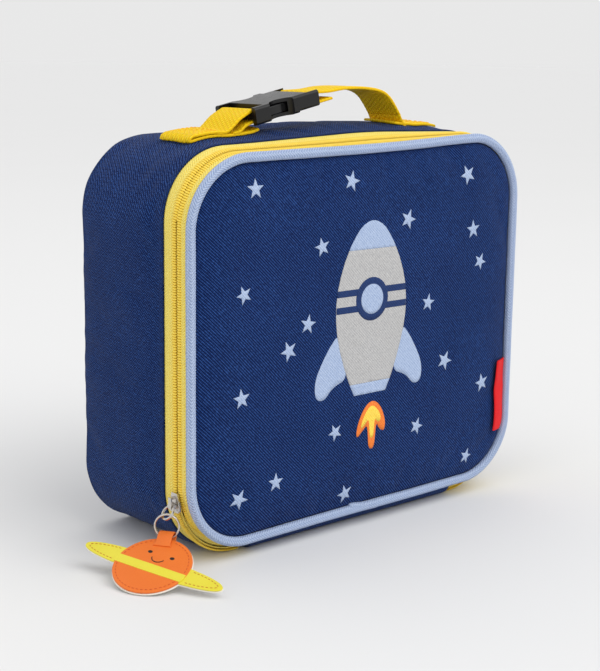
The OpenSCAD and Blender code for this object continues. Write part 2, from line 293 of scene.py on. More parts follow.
NAVY = twill("navy_twill", colour(3, 24, 70), colour(54, 93, 164))
PIPE = ribbed("piping_grosgrain", colour(134, 154, 194), colour(204, 218, 242), 0.0016, 0.0026)
TAPE = ribbed("zipper_tape_weave", colour(248, 212, 72), colour(255, 246, 148), 0.0015, 0.0019)
BIND = ribbed("binding_weave", colour(24, 34, 66), colour(58, 74, 118), 0.0012, 0.003)
ELASTIC = ribbed("elastic_weave", colour(16, 30, 66), colour(44, 68, 120), 0.0016, 0.002, 0.0005)
LABEL = ribbed("label_weave", colour(214, 8, 18), colour(250, 44, 48), 0.0006, 0.0006, 0.0001)
WEB = webbing_look()
METAL = grained("nickel", colour(190, 184, 178), colour(226, 222, 216), (420, 4, 0.65), (0.12, 0.34),
                (0.00003, 0.5), Metallic=1.0, Roughness=0.2)
PLASTIC = plastic("black_acetal")
FILM = film_look()
NET = net_look()
COIL = grained("zipper_coil_nylon", colour(246, 204, 48), colour(255, 230, 96), (900, 2), (0.3, 0.5),
               (0.00005, 0.4), Roughness=0.38)


# ---------------- geometry

def put(name, data, body=None, slot=None, replaces=()):
    """An object in the scene, the body it rides on, and the CAD nodes it replaces. slot is not used."""
    o = bpy.data.objects.new(name, data)
    bpy.context.scene.collection.objects.link(o)
    if body:
        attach(o, body)
    if replaces:
        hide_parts(*replaces)
    return o


def make(name, points, faces, mat, uvs=None, **more):
    """A mesh from points in millimetres. uvs gives each face's corners their weave place, in metres."""
    me = bpy.data.meshes.new(name)
    me.from_pydata([tuple(c * MM for c in p) for p in points], [], faces)
    if uvs is not None:
        layer = me.uv_layers.new(name="weave")
        layer.data.foreach_set("uv", [c for corner in uvs for uv in corner for c in uv])
    bm = bmesh.new()
    bm.from_mesh(me)
    bmesh.ops.recalc_face_normals(bm, faces=bm.faces)
    bm.to_mesh(me)
    bm.free()
    me.polygons.foreach_set("use_smooth", [True] * len(me.polygons))
    me.materials.append(mat)
    return put(name, me, **more)


def quads(rows, across, uv=None, closed=True, ring=False, base=0):
    """Faces between rows of points, and their corners' weave places, uv(row, column). closed joins
    each row's last point to its first; ring joins the last row to the first."""
    faces, uvs = [], []
    for i in range(rows if ring else rows - 1):
        for j in range(across if closed else across - 1):
            k = (j + 1) % across
            a, b = base + i * across, base + (i + 1) % rows * across
            faces.append((a + j, b + j, b + k, a + k))
            if uv:
                uvs.append((uv(i, j), uv(i + 1, j), uv(i + 1, j + 1), uv(i, j + 1)))
    return faces, uvs


def bar(rows, across, uv=None, end=None, base=0):
    """Faces of a closed bar made of rows of points, with its two ends, which get the places end."""
    faces, uvs = quads(rows, across, uv, base=base)
    last = base + (rows - 1) * across
    faces += [tuple(range(base, base + across)), tuple(range(last, last + across))]
    return faces, uvs + (end or [[(0, 0)] * across] * 2 if uv else [])


def flat_places(points, faces):
    """Weave places of a panel's faces: x and z, in metres."""
    return [[(points[i][0] * MM, points[i][-1] * MM) for i in face] for face in faces]


def thicken(o, thickness=None, offset=0, render_levels=1):
    """Gives a surface its thickness, and rounds it off."""
    if thickness:
        modifier(o, "SOLIDIFY", thickness=thickness, offset=offset)
    modifier(o, "SUBSURF", levels=1, render_levels=render_levels)


def modifier(o, kind, **values):
    m = o.modifiers.new(kind.lower(), kind)
    for key, value in values.items():
        setattr(m, key, value)
    return m


def polar(r, degrees):
    t = radians(degrees)
    return r * cos(t), r * sin(t)


def disc(x, z, r, n=40):
    """Outline of a circle."""
    return [(x + r * cos(TAU * i / n), z + r * sin(TAU * i / n)) for i in range(n)]


def ease(t):
    """A smooth step from 0 at t = 0 to 1 at t = 1."""
    t = min(1.0, max(0.0, t))
    return t * t * (3 - 2 * t)


def curve(x, xs, ys):
    """Values ys at xs, joined smoothly."""
    return float(np.mean(np.interp([x - 14, x - 7, x, x + 7, x + 14], xs, ys)))


def drop(x, y, z):
    """How far the soft bag's top stands from the CAD's. It sags at the front left and is crowned."""
    front = curve(x, (-115, -84, -72, -20, 7, 36, 59, 75, 115),
                  (-5, -5, -4.6, -3.8, -3.2, -2.2, -0.9, -0.2, 0))
    back = curve(x, (-115, -68, 16, 62, 115), (-2.6, -1.6, 2.4, 1.2, 0))
    k = ease((-y - 22) / 22)
    under_buckle = 1.9 * math.exp(-((x + 24) / 30) ** 2 - ((y - 13) / 11) ** 2)
    return (front * k + back * (1 - k) - under_buckle) * ease((z - 95) / 100)


def soft(p):
    x, y, z = p
    return x, y, z + drop(x, y, z)


def soft_lid(p):
    """The lid's lower edge also stands a little higher than the CAD's."""
    x, y, z = p
    up = curve(x, (-115, -90, -70, -15, 45, 69, 115), (0.4, 1.0, 1.3, 2.2, 2.4, 3.0, 3.0))
    return x, y, z + drop(x, y, z) + up * (1 - ease((z - 6) / 50)) * ease((-y - 34) / 8)


def rim_at(s, z0, z1, r=R):
    """Point (x, z) and outward direction on the outline, s mm from the middle of its base, going left."""
    a, q, v = W / 2 - r, pi * r / 2, z1 - z0 - 2 * r
    s %= 4 * a + 4 * q + 2 * v
    for cx, cz, length, turn in (
        (0, z0 + r, a, 270), (-a, z0 + r, v, 180), (-a, z1 - r, 2 * a, 90),
        (a, z1 - r, v, 0), (a, z0 + r, a, -90),
    ):
        t = radians(turn)
        n = (cos(t), sin(t))
        along = (n[1], -n[0])
        if s <= length:
            return cx + r * n[0] + along[0] * s, cz + r * n[1] + along[1] * s, *n
        s -= length
        if s <= q and turn != -90:
            t -= s / r
            cx, cz = cx + along[0] * length, cz + along[1] * length
            return cx + r * cos(t), cz + r * sin(t), cos(t), sin(t)
        s -= q
    return 0, z0, 0, -1


def rim_length(z0, z1):
    return 2 * (W - 2 * R) + 2 * (z1 - z0 - 2 * R) + TAU * R


def sweep(name, z0, z1, section, mat, step=3.0, ends=None, warp=soft, **more):
    """Carries a closed section, points (outwards, forwards), round the outline. ends leaves it open
    at the base, this far from the middle."""
    total = rim_length(z0, z1)
    start = ends or 0
    length = total - 2 * start
    n = round(length / step)
    rows = n + 1 if ends else n
    size = len(section)
    points = []
    for i in range(rows):
        x, z, nx, nz = rim_at(start + length * i / n, z0, z1)
        points += [warp((x + nx * o, -f, z + nz * o)) for o, f in section]
    girth = [0]
    for j in range(size):
        girth.append(girth[-1] + math.dist(section[j], section[(j + 1) % size]))

    def uv(i, j):
        return (start + length * i / n) * MM, girth[j] * MM

    if ends:
        faces, uvs = bar(rows, size, uv, [[(o * MM, f * MM) for o, f in section]] * 2)
    else:
        faces, uvs = quads(rows, size, uv, ring=True)
    return make(name, points, faces, mat, uvs, **more)


def plate(z0, z1, inset, rings=9, step=3.3):
    """A rounded panel: a plain grid, then rings out to its rim. Gives points (x, z), faces, and the
    rim's point indices in order."""
    a, lo, hi, r = W / 2 - R, z0 + R, z1 - R, R - inset
    nx, nz, nc = round(2 * a / step), round((hi - lo) / step), 12
    grid = [(-a + 2 * a * i / nx, lo + (hi - lo) * j / nz) for j in range(nz + 1) for i in range(nx + 1)]
    at = lambda i, j: j * (nx + 1) + i
    sides = [[at(i, 0) for i in range(nx + 1)], [at(nx, j) for j in range(nz + 1)],
             [at(i, nz) for i in range(nx, -1, -1)], [at(0, j) for j in range(nz, -1, -1)]]
    edge = []                                   # (grid index, direction), side and corner in turn
    for turn, side in zip((-90, 0, 90, 180), sides):
        edge += [(g, turn) for g in side]
        edge += [(side[-1], turn + 90 * c / nc) for c in range(1, nc)]
    points = list(grid)
    faces = [(at(i, j), at(i + 1, j), at(i + 1, j + 1), at(i, j + 1)) for j in range(nz) for i in range(nx)]
    inner = [g for g, _ in edge]
    m = len(edge)
    for k in range(1, rings + 1):
        d = r * (k / rings) ** 0.8
        row = []
        for g, turn in edge:
            dx, dz = polar(d, turn)
            row.append(len(points))
            points.append((grid[g][0] + dx, grid[g][1] + dz))
        for e in range(m):
            b = (e + 1) % m
            faces.append(tuple(dict.fromkeys((inner[e], row[e], row[b], inner[b]))))
        inner = row
    return points, faces, inner


def under_rim(x, z, z0, z1, inset):
    """Distance in from the panel's rim."""
    cx, cz = W / 2 - R, (z1 - z0) / 2 - R
    dx, dz = max(0, abs(x) - cx), max(0, abs(z - (z0 + z1) / 2) - cz)
    if dx == 0 and dz == 0:
        return R - inset + min(cx - abs(x), cz - abs(z - (z0 + z1) / 2))
    return R - inset - math.hypot(dx, dz)


def wavy(p, scale, seed):
    return noise.noise(Vector((p[0] / scale + seed, p[1] / scale - seed, p[2] / scale + 2 * seed)))


def coords(o):
    co = np.empty(len(o.data.vertices) * 3)
    o.data.vertices.foreach_get("co", co)
    return co.reshape(-1, 3)


def inflate(o, pins, cap, pressure=4.0, slack=0.0, frames=20):
    """Cloth with air pressure in it; its points then stand at most cap metres from where they were."""
    group = o.vertex_groups.new(name="pin")
    for i, w in enumerate(pins):
        if w > 0:
            group.add([i], w, "REPLACE")
    before = coords(o)
    cloth = modifier(o, "CLOTH")
    s = cloth.settings
    s.quality = 6
    s.mass = 0.15
    s.tension_stiffness = s.compression_stiffness = 12
    s.shear_stiffness = 4
    s.bending_stiffness = 0.4
    s.use_pressure = True
    s.uniform_pressure_force = pressure
    s.shrink_min = -slack
    s.vertex_group_mass = "pin"
    s.pin_stiffness = 1.0
    s.effector_weights.gravity = 0
    cloth.point_cache.frame_start, cloth.point_cache.frame_end = 1, frames
    scene = bpy.context.scene
    for f in range(1, frames + 1):
        scene.frame_set(f)
    after = coords(o.evaluated_get(bpy.context.evaluated_depsgraph_get()))
    o.modifiers.remove(cloth)
    o.vertex_groups.remove(group)
    scene.frame_set(1)
    move = after - before
    far = np.linalg.norm(move, axis=1, keepdims=True) + 1e-12
    move *= cap * np.tanh(far / cap) / far
    o.data.vertices.foreach_set("co", (before + move).ravel())
    o.data.update()


# ---------------- body of the bag

def wall(points, faces, uvs, plan, rim, rows, across, down):
    """Carries a back plate's rim forwards along rows (outwards, forwards). across and down are the
    weave's steps per column and per row. Gives each row's points."""
    corners = []
    for g in rim:
        x, z = plan[g]
        cx, cz = min(max(x, R - W / 2), W / 2 - R), min(max(z, R), H - R)
        d = math.hypot(x - cx, z - cz)
        corners.append((cx, cz, (x - cx) / d, (z - cz) / d))
    previous, m, loops = rim, len(rim), []
    for o, f in reversed(rows):
        row = list(range(len(points), len(points) + m))
        points += [(cx + nx * (R + o), -f, cz + nz * (R + o)) for cx, cz, nx, nz in corners]
        for e in range(m):
            b = (e + 1) % m
            faces.append((previous[e], previous[b], row[b], row[e]))
            s0, s1, v0, v1 = across * e * MM, across * (e + 1) * MM, (f + down) * MM, f * MM
            uvs.append(((s0, v0), (s1, v0), (s1, v1), (s0, v1)))
        loops.append((row, f))
        previous = row
    return loops


BACK_INSET = 4.2                # from the bag's outline to the flat back's rim
LID_INSET = 3.6                 # from the lid's outline to its padded panel's rim


def body_shell():
    """Sides and back in one, open at the front and blown up a little."""
    rows = [(-1.2, 24.2), (-0.5, 24.5), (0, 23.8)]
    rows += [(0, 21 - 62.5 * i / 19) for i in range(20)]
    rows += [(0.25, -42.6), (0.1, -43.6), (-0.9, -43.5), (-1.5, -43.4), (-2.4, -44.1)]
    plan, plan_faces, rim = plate(0, H, BACK_INSET)
    points = [(x, 44.6, z) for x, z in plan]
    faces = [tuple(reversed(f)) for f in plan_faces]
    uvs = flat_places(plan, faces)
    loops = wall(points, faces, uvs, plan, rim, rows, rim_length(0, H) / len(rim), 3)
    o = make("bag_fabric", points, faces, NAVY, uvs)
    co = np.array(points)
    pins = np.zeros(len(points))
    for row, f in loops:
        if f > 20 or -44 < f < -43:
            pins[row] = 1.0
    pins[(co[:, 2] < 2)] = 1.0
    inflate(o, pins, 0.0035, pressure=3.0, slack=0.012)
    for v in o.data.vertices:
        p = v.co / MM
        side = p.y < 43.5
        amount = 0.55 if side else 0.8
        lift = wavy(p, 38, 3.1) * amount + wavy(p, 15, 8.2) * amount * 0.3
        hold = ease((p.z - 2) / 25) * ease((p.y + 24.6) / 12) if side else 1
        p = p + v.normal * lift * hold
        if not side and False:
            p.y += 2.2 * ease(under_rim(p.x, p.z, 0, H, BACK_INSET) / 60)
        x, y, z = soft((p.x, p.y, max(p.z, 0.02)))
        v.co = Vector((x, y, z)) * MM
    thicken(o, 0.0011, -1)
    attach(o, "root")
    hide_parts("gusset_outer", "back_outer")


def body_lining():
    """Film over the foam inside: floor, walls and back in one skin."""
    rows = [(-1.35, 22.0), (-5.6, 22.0)] + [(-6.0, 21 - 59 * i / 16) for i in range(17)]
    rows += [(-6.6, -38.4), (-8.5, -38.6)]
    plan, plan_faces, rim = plate(0, H, 11)
    points = [(x, 38.7, z) for x, z in plan]
    faces = list(plan_faces)
    uvs = flat_places(plan, faces)
    wall(points, faces, uvs, plan, rim, rows, 3.2, 3.6)
    o = make("bag_lining", points, faces, FILM, uvs, body="root", slot="lining",
             replaces=["gusset_foam", "back_foam", "gusset_lining", "back_lining"])
    for v in o.data.vertices:
        p = v.co / MM
        hold = ease((21 + p.y) / 8 + 0.2)
        puff = (wavy(p, 30, 5.5) + 0.5 * wavy(p, 12, 1.5)) * 0.7 * hold
        v.co = Vector(soft(p + v.normal * puff)) * MM
    thicken(o, 0.0006, 1)


def rounded(o0, f0, o1, f1, r, n=3):
    """Section of a flat strip with round edges."""
    out = []
    for co, cf, a in ((o1 - r, f1 - r, 0), (o0 + r, f1 - r, 90), (o0 + r, f0 + r, 180),
                      (o1 - r, f0 + r, 270)):
        for i in range(n + 1):
            do, df = polar(r, a + 90 * i / n)
            out.append((co + do, cf + df))
    return out


def tape_section(f0, f1, high, low, n=6):
    """Arched tape: highest beside the coil, with a turned-under outer edge."""
    top = [(low + (high - low) * sin(pi * min(1, 0.12 + 0.88 * i / n) ** 0.8),
            f0 + (f1 - f0) * i / n) for i in range(n + 1)]
    return top + [(o - 0.6, f) for o, f in reversed(top)]


TAPE_END = 73.6                 # from the middle of the base to the zipper tapes' ends
body_shell()
body_lining()
sweep("bag_binding", 0, H, rounded(-6.3, 21.6, -1.25, 24.1, 1.1), BIND,
      body="root", slot="binding", replaces=["binding_gusset"])
sweep("back_binding", 0, H, rounded(-7.3, -38.2, -6.2, -30.3, 0.5), BIND,
      body="root", slot="binding", replaces=["binding_back"])

sweep("zipper_tape_on_bag", 0, H, tape_section(23.4, 34.3, -0.75, -1.9), TAPE, ends=TAPE_END,
      body="root", slot="zipper_tape", replaces=["zipper_tape_body"])


def coil(name, z0, z1, f0, f1, tip_side, body, node, warp, shift):
    """One row of the zipper's teeth: short arched bars across the tape. first is from the middle of
    the base to the first tooth, and tip how far the teeth reach between those of the other row."""
    pitch, first, tip, stations, sides = 1.3, TAPE_END + 3, 0.7, 6, 6
    count = int((rim_length(z0, z1) - 2 * first) / pitch)
    points, faces = [], []
    for k in range(count):
        x, z, nx, nz = rim_at(first + pitch * (k + shift), z0, z1)
        tx, tz = nz, -nx
        in_reach = x < -110 and z < 172         # where the slider rides over the teeth
        a, b = f0, f1
        if not in_reach:
            a, b = (f0, f1 + tip) if tip_side > 0 else (f0 - tip, f1)
        base = len(points)
        for i in range(stations):
            t = i / (stations - 1)
            lift = -1.05 + 0.62 * sin(pi * t) ** 0.7
            r = 0.61 if 0 < i < stations - 1 else 0.4
            for j in range(sides):
                w = TAU * j / sides
                o = lift + 0.7 * r * sin(w)
                d = r * cos(w)
                points.append(warp((x + nx * o + tx * d, -(a + (b - a) * t), z + nz * o + tz * d)))
        faces += bar(stations, sides, base=base)[0]
    return make(name, points, faces, COIL, body=body, slot="zipper_coil", replaces=[node])


coil("zipper_coil_on_bag", 0, H, 31.0, 34.1, 1, "root", "zipper_coil_body", soft, 0.0)
coil("zipper_coil_on_lid", *LID, 34.9, 38.0, -1, "lid", "zipper_coil_lid", soft_lid, 0.5)

# ---------------- lid

sweep("zipper_tape_on_lid", *LID, tape_section(41.9, 34.7, -0.6, -1.9), TAPE, ends=TAPE_END,
      warp=soft_lid, body="lid", slot="zipper_tape", replaces=["zipper_tape_lid"])
sweep("lid_binding", *LID, rounded(-5.4, 37.2, -2.4, 41.2, 1.0), BIND, warp=soft_lid,
      body="lid", slot="binding", replaces=["binding_lid"])


def corner_fill(name, right):
    """Where the lid stands off the bag at a lower corner, tape behind the teeth closes the slit."""
    first, last, steps, across = 74.0, 122.0, 26, 6
    under = 2.95                                # how far the strip lies inside the outlines
    points = []
    for i in range(steps + 1):
        s = first + (last - first) * i / steps
        ends = []
        for z0, z1, f, warp in ((0, H, 33.2, soft), (*LID, 35.8, soft_lid)):
            x, z, nx, nz = rim_at(rim_length(z0, z1) - s if right else s, z0, z1)
            ends.append(Vector(warp((x - under * nx, -f, z - under * nz))))
        for j in range(across + 1):
            t = j / across
            points.append(tuple(ends[0].lerp(ends[1], t) - Vector((nx, 0, nz)) * 0.4 * sin(pi * t)))
    faces, uvs = quads(steps + 1, across + 1, lambda i, j: (1.85 * i * MM, j * MM), closed=False)
    o = make(name, points, faces, TAPE, uvs, body="root", slot="zipper_tape")
    modifier(o, "SOLIDIFY", thickness=0.0004, offset=0)


corner_fill("zipper_corner_left", False)
corner_fill("zipper_corner_right", True)


def piping():
    """Cord in ribbed tape; its ends cross under each other at the middle of the base."""
    z0, z1 = LID
    pitch = 1.25
    total = rim_length(z0, z1)
    n = int(total / pitch) * 3
    sides, lap = 14, 9
    points = []
    for i in range(n + 1):
        s = (total + 2 * lap) * i / n - lap
        x, z, nx, nz = rim_at(s, z0, z1)
        end = 1 - ease((s + lap) / 12) if s < 6 else ease((total + lap - s) / 12) - 1 if s > total - 6 else 0
        rib = (0, 0.16, 0.05)[i % 3]
        swell = 1 + 0.012 * sin(s / 17) + 0.012 * sin(s / 6.1)
        for j in range(sides):
            w = TAU * j / sides
            r = (2.32 + rib) * swell
            o = -1.6 + r * cos(w) + 0.5 * end - 0.7 * abs(end)
            f = 44.2 + r * sin(w) + (1.1 * end if end > 0 else 0.2 * end)
            points.append(soft_lid((x + nx * o, -f, z + nz * o)))
    faces, uvs = bar(n + 1, sides, lambda i, j: (total * i / n * MM, 1.1 * j * MM))
    return make("piping_round_lid", points, faces, PIPE, uvs, body="lid", slot="piping", replaces=["piping"])


piping()


def front_panel():
    """The lid's padded panel: front, back and edge, blown up against its sewn rim."""
    z0, z1 = LID
    plan, plan_faces, rim = plate(z0, z1, LID_INSET)
    count = len(plan)
    points, faces = [], []
    for f, turned in ((44.0, False), (38.6, True)):
        base = len(points)
        points += [(x, -f, z) for x, z in plan]
        for face in plan_faces:
            face = tuple(base + i for i in face)
            faces.append(tuple(reversed(face)) if turned else face)
    uvs = flat_places(points, faces)
    m = len(rim)
    for e in range(m):
        b = (e + 1) % m
        faces.append((rim[e], rim[e] + count, rim[b] + count, rim[b]))
        uvs.append([(3.2 * k * MM, v * MM) for k, v in ((e, 0), (e, 5.4), (e + 1, 5.4), (e + 1, 0))])
    o = make("front_panel", points, faces, NAVY, uvs)
    pins = np.zeros(len(points))
    pins[rim] = pins[[g + count for g in rim]] = 1.0
    inflate(o, pins, 0.0032, pressure=4.0, slack=0.01)
    back = set(range(count, 2 * count))
    for v in o.data.vertices:
        p = v.co / MM
        deep = under_rim(p.x, p.z, z0, z1, LID_INSET)
        if v.index not in back:
            p.y -= 0.5 * ease(deep / 20) + (wavy(p, 46, 6.4) * 0.7 + wavy(p, 19, 2.2) * 0.2) * ease(deep / 18)
            p.y += 0.9 * (1 - ease(deep / 7)) * ease(deep / 2)
        else:
            p.y += wavy(p, 24, 4.4) * 0.5 * ease(deep / 10)
            p.y = min(p.y, -37.6)
        v.co = Vector(soft_lid(p)) * MM
    o.data.materials.append(FILM)
    for poly in o.data.polygons:
        if all(i in back for i in poly.vertices):
            poly.material_index = 1
    thicken(o)
    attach(o, "lid")
    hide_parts("front_outer", "front_foam", "front_lining")


front_panel()


def hinge_strip():
    """Strip of fabric from the bag's floor up to the lid's lower edge."""
    line = [(0.65, 25.0), (0.65, 30), (0.7, 34.5), (0.9, 37.2), (1.9, 38.8), (3.4, 39.9), (4.9, 40.9),
            (6.0, 41.6)]
    half, n = 73.0, 48
    points = []
    for i in range(n + 1):
        x = -half + 2 * half * i / n
        for z, f in line:
            wave = 0.35 * noise.noise(Vector((x / 16, z, 0.4))) * ease((f - 34) / 4)
            points.append(soft_lid((x, -(f + wave), z)) if f > 36 else (x, -f, z))
    m = len(line)
    faces, uvs = quads(n + 1, m, lambda i, j: (points[i * m][0] * MM, 2.2 * j * MM), closed=False)
    o = make("hinge_strip", points, faces, NAVY, uvs)
    thicken(o, 0.0011)
    for m in list(o.modifiers):
        bpy.context.view_layer.objects.active = o
        bpy.ops.object.modifier_apply(modifier=m.name)
    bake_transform(o)
    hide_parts("hinge_fabric")


hinge_strip()


# ---------------- print on the lid

def surface_of(name):
    return BVHTree.FromObject(bpy.data.objects[name], bpy.context.evaluated_depsgraph_get())


def smooth_line(line, rounds=2):
    """Cuts the corners of a closed outline."""
    for _ in range(rounds):
        line = [((a[0] * k + b[0] * (1 - k)), (a[1] * k + b[1] * (1 - k)))
                for a, b in zip(line, line[1:] + line[:1]) for k in (0.75, 0.25)]
    return line


SKIN = surface_of("front_panel")


def on_skin(x, z):
    """Depth of the padded panel's surface at (x, z), all in metres."""
    return SKIN.ray_cast(Vector((x, -0.2, z)), Vector((0, 1, 0)))[0].y


def decal(name, outlines, mat, lift, fan=False):
    """Flat outlines (x, z) laid on the panel as a thin raised layer."""
    bm = bmesh.new()
    for line in outlines:
        ring = [bm.verts.new((x * MM, 0, z * MM)) for x, z in line]
        if fan:
            hub = bm.verts.new(sum((v.co for v in ring), Vector()) / len(ring))
            for i in range(len(ring)):
                bm.faces.new((hub, ring[i - 1], ring[i]))
        else:
            bm.faces.new(ring)
    bmesh.ops.triangulate(bm, faces=bm.faces, ngon_method="EAR_CLIP")
    for _ in range(6):
        long = [e for e in bm.edges if e.calc_length() > 0.0032]
        if not long:
            break
        bmesh.ops.subdivide_edges(bm, edges=long, cuts=1)
        bmesh.ops.triangulate(bm, faces=[f for f in bm.faces if len(f.verts) > 3])
    for f in bm.faces:
        if f.normal.y > 0:
            f.normal_flip()
    for v in bm.verts:
        v.co.y = on_skin(v.co.x, v.co.z) - lift
    me = bpy.data.meshes.new(name)
    bm.to_mesh(me)
    bm.free()
    layer = me.uv_layers.new(name="weave")
    for loop in me.loops:
        co = me.vertices[loop.vertex_index].co
        layer.data[loop.index].uv = (co.x, co.z)
    me.polygons.foreach_set("use_smooth", [True] * len(me.polygons))
    me.materials.append(mat)
    modifier(put(name, me, "lid", "navy_fabric"), "SOLIDIFY", thickness=lift + 0.0002, offset=-1)


def five_point(x, z, r, turn):
    """Outline of a star."""
    out = []
    for i in range(10):
        dz, dx = polar(r if i % 2 == 0 else r * 0.4, turn + 36 * i)
        out.append((x + dx, z + dz))
    return out


def print_on_lid():
    sky = print_ink("ink_sky", colour(140, 161, 198), colour(196, 211, 236))
    grey = print_ink("ink_grey", colour(158, 158, 160), colour(210, 209, 207))
    dark = print_ink("ink_navy", colour(12, 36, 84), colour(32, 64, 120))
    orange = print_ink("ink_orange", colour(236, 112, 34), colour(250, 146, 66))
    yellow = print_ink("ink_yellow", colour(250, 206, 60), colour(255, 226, 104))
    stars = [(-76.4, 181.7), (-13.9, 182.5), (71.6, 181.9), (26.4, 160.8), (76.5, 152.1), (-34.1, 150.9),
             (83.2, 133.9), (-83.9, 131.8), (42.7, 115.2), (-43.0, 113.1), (-55.3, 101.0), (56.8, 81.7),
             (88.3, 64.8), (-84.8, 81.2), (36.3, 48.1), (-23.4, 54.5), (78.4, 23.5), (-62.8, 35.4),
             (-14.0, 19.5), (-85.7, 30.7)]
    decal("print_stars", [five_point(x, z, 5.2 + 0.4 * sin(7 * i), 26 * sin(2.4 * i))
                          for i, (x, z) in enumerate(stars)], sky, 0.00012, fan=True)
    cx = 0.6                                    # the rocket's middle; its outlines are (z, half width)
    hull = [(162.0, 1.2), (161.5, 3.3), (160.2, 6.2), (158, 9.2), (154.5, 12.2), (150.5, 15.0), (147.5, 16.7)]
    body = [(147.5, 16.7), (142, 19.4), (135, 22), (128, 23.8), (120, 24.7), (112, 24.7), (104, 23.7),
            (96, 21.7), (88, 18.9), (81, 15.9), (77.8, 14.4)]
    tail = [(77.8, 14.4), (71.8, 11.2)]
    both = lambda rows: [(cx + w, z) for z, w in rows] + [(cx - w, z) for z, w in reversed(rows)]
    fin = smooth_line([(15, 82), (22.5, 106), (28, 100.5), (33.5, 92.5), (38.5, 83), (38, 73.5), (32, 72),
                       (26.5, 78.5)], 3)
    decal("print_fins", [[(cx + x, z) for x, z in fin], [(cx - x, z) for x, z in reversed(fin)]],
          sky, 0.0001)
    decal("print_nose", [both(hull)], sky, 0.00016)
    decal("print_hull", [both(body)], grey, 0.00016)
    decal("print_nozzle", [both(tail)], sky, 0.00014)
    bands = [[(cx - w, z0), (cx + w, z0), (cx + w, z0 + 3.4), (cx - w, z0 + 3.4)]
             for z0, w in ((115.7, 24.6), (124.2, 24.2))]
    decal("print_bands", bands, dark, 0.00022)
    decal("print_window_rim", [disc(cx, 121.6, 11.3)], dark, 0.00028)
    decal("print_window", [disc(cx, 121.6, 7.8)], sky, 0.00034)
    flame = smooth_line([(2.8, 68), (8.5, 64.5), (12.6, 56), (12, 49.5), (8, 51.5), (5.8, 55.5), (5.2, 49),
                         (4.6, 41.5), (0.8, 41.5), (0, 49), (-0.8, 55), (-3.6, 52.5), (-8.6, 48), (-7.8, 56),
                         (-3.2, 64.5)])
    core = smooth_line([(2.6, 65.3), (6.6, 62.6), (9.6, 57.6), (7.4, 54.6), (4.4, 58.2), (4.2, 52),
                        (3.6, 47.4), (1.4, 47.4), (0.9, 52), (0.2, 58.4), (-2, 55.8), (-5.6, 52.8),
                        (-4.6, 57.6), (-1.2, 63)])
    decal("print_flame", [flame], orange, 0.00012)
    decal("print_flame_core", [core], yellow, 0.00018)


print_on_lid()


def woven_label():
    """Folded tab sewn in beside the piping; its fold stands a little proud."""
    line = [(110.9, -0.3), (109.4, 0.5), (106.4, 1.1), (103.4, 1.6), (100.6, 2.0), (99.5, 2.0), (98.9, 1.6),
            (99.5, 1.15), (100.6, 1.1), (103.4, 0.75), (106.4, 0.4), (109.4, -0.1), (110.9, -0.8)]
    z0, z1, n = 35.0, 76.0, 26
    points = []
    for i in range(n + 1):
        z = z0 + (z1 - z0) * i / n
        wave = 0.12 * sin(i / 3.1) + 0.5 * (i / n - 0.5) ** 2
        for x, lift in line:
            free = (111 - x) / 12
            f = -on_skin(min(x, 109.5) * MM, z * MM) / MM + 0.35 + lift + wave * free
            points.append((x, -f, z))
    m = len(line)
    faces, uvs = quads(n + 1, m, lambda i, j: (1.6 * j * MM, points[i * m][2] * MM), closed=False)
    o = make("woven_label", points, faces, LABEL, uvs, body="lid", slot="label", replaces=["side_label"])
    thicken(o, 0.00035, render_levels=2)


woven_label()


def pocket():
    """Gathered net pocket on the inner back, with an elastic edge."""
    half, z0, z1, nx, nz = 90.0, 16.0, 103.0, 72, 34
    wall_y = 38.1

    def depth(x, k):
        return 0.25 + 5.0 * (1 - abs(x / half) ** 5) * sin(pi * min(1, 0.08 + k * 0.62)) ** 0.8

    points = []
    for j in range(nz + 1):
        k = j / nz
        for i in range(nx + 1):
            x = -half + 2 * half * i / nx
            gather = 0.35 * sin(x / 1.9) * k ** 2 * (1 - abs(x / half) ** 4)
            points.append((x, wall_y - depth(x, k) + gather, z0 + (z1 - z0) * k))
    faces = quads(nz + 1, nx + 1, closed=False)[0]
    uvs = flat_places(points, faces)
    net = make("pocket_net", points, faces, NET, uvs, body="root", slot="mesh", replaces=["mesh_pocket"])
    modifier(net, "SOLIDIFY", thickness=0.0005, offset=0)
    points = []
    m, n = 14, 240
    for i in range(n + 1):
        x = -half + 2 * half * i / n
        y = wall_y - depth(x, 1) + 0.35 * sin(x / 1.9)
        thin = 1 - abs(x / half) ** 12 * 0.6
        for a, b in disc(0, 0, 1, m):
            points.append((x, y - 0.9 * a * thin, z1 + 0.5 + 4.6 * b))
    faces, uvs = bar(n + 1, m, lambda i, j: (0.75 * i * MM, 2 * j * MM))
    make("pocket_band", points, faces, ELASTIC, uvs, body="root", slot="navy_fabric",
         replaces=["pocket_elastic"])


pocket()


# ---------------- handle

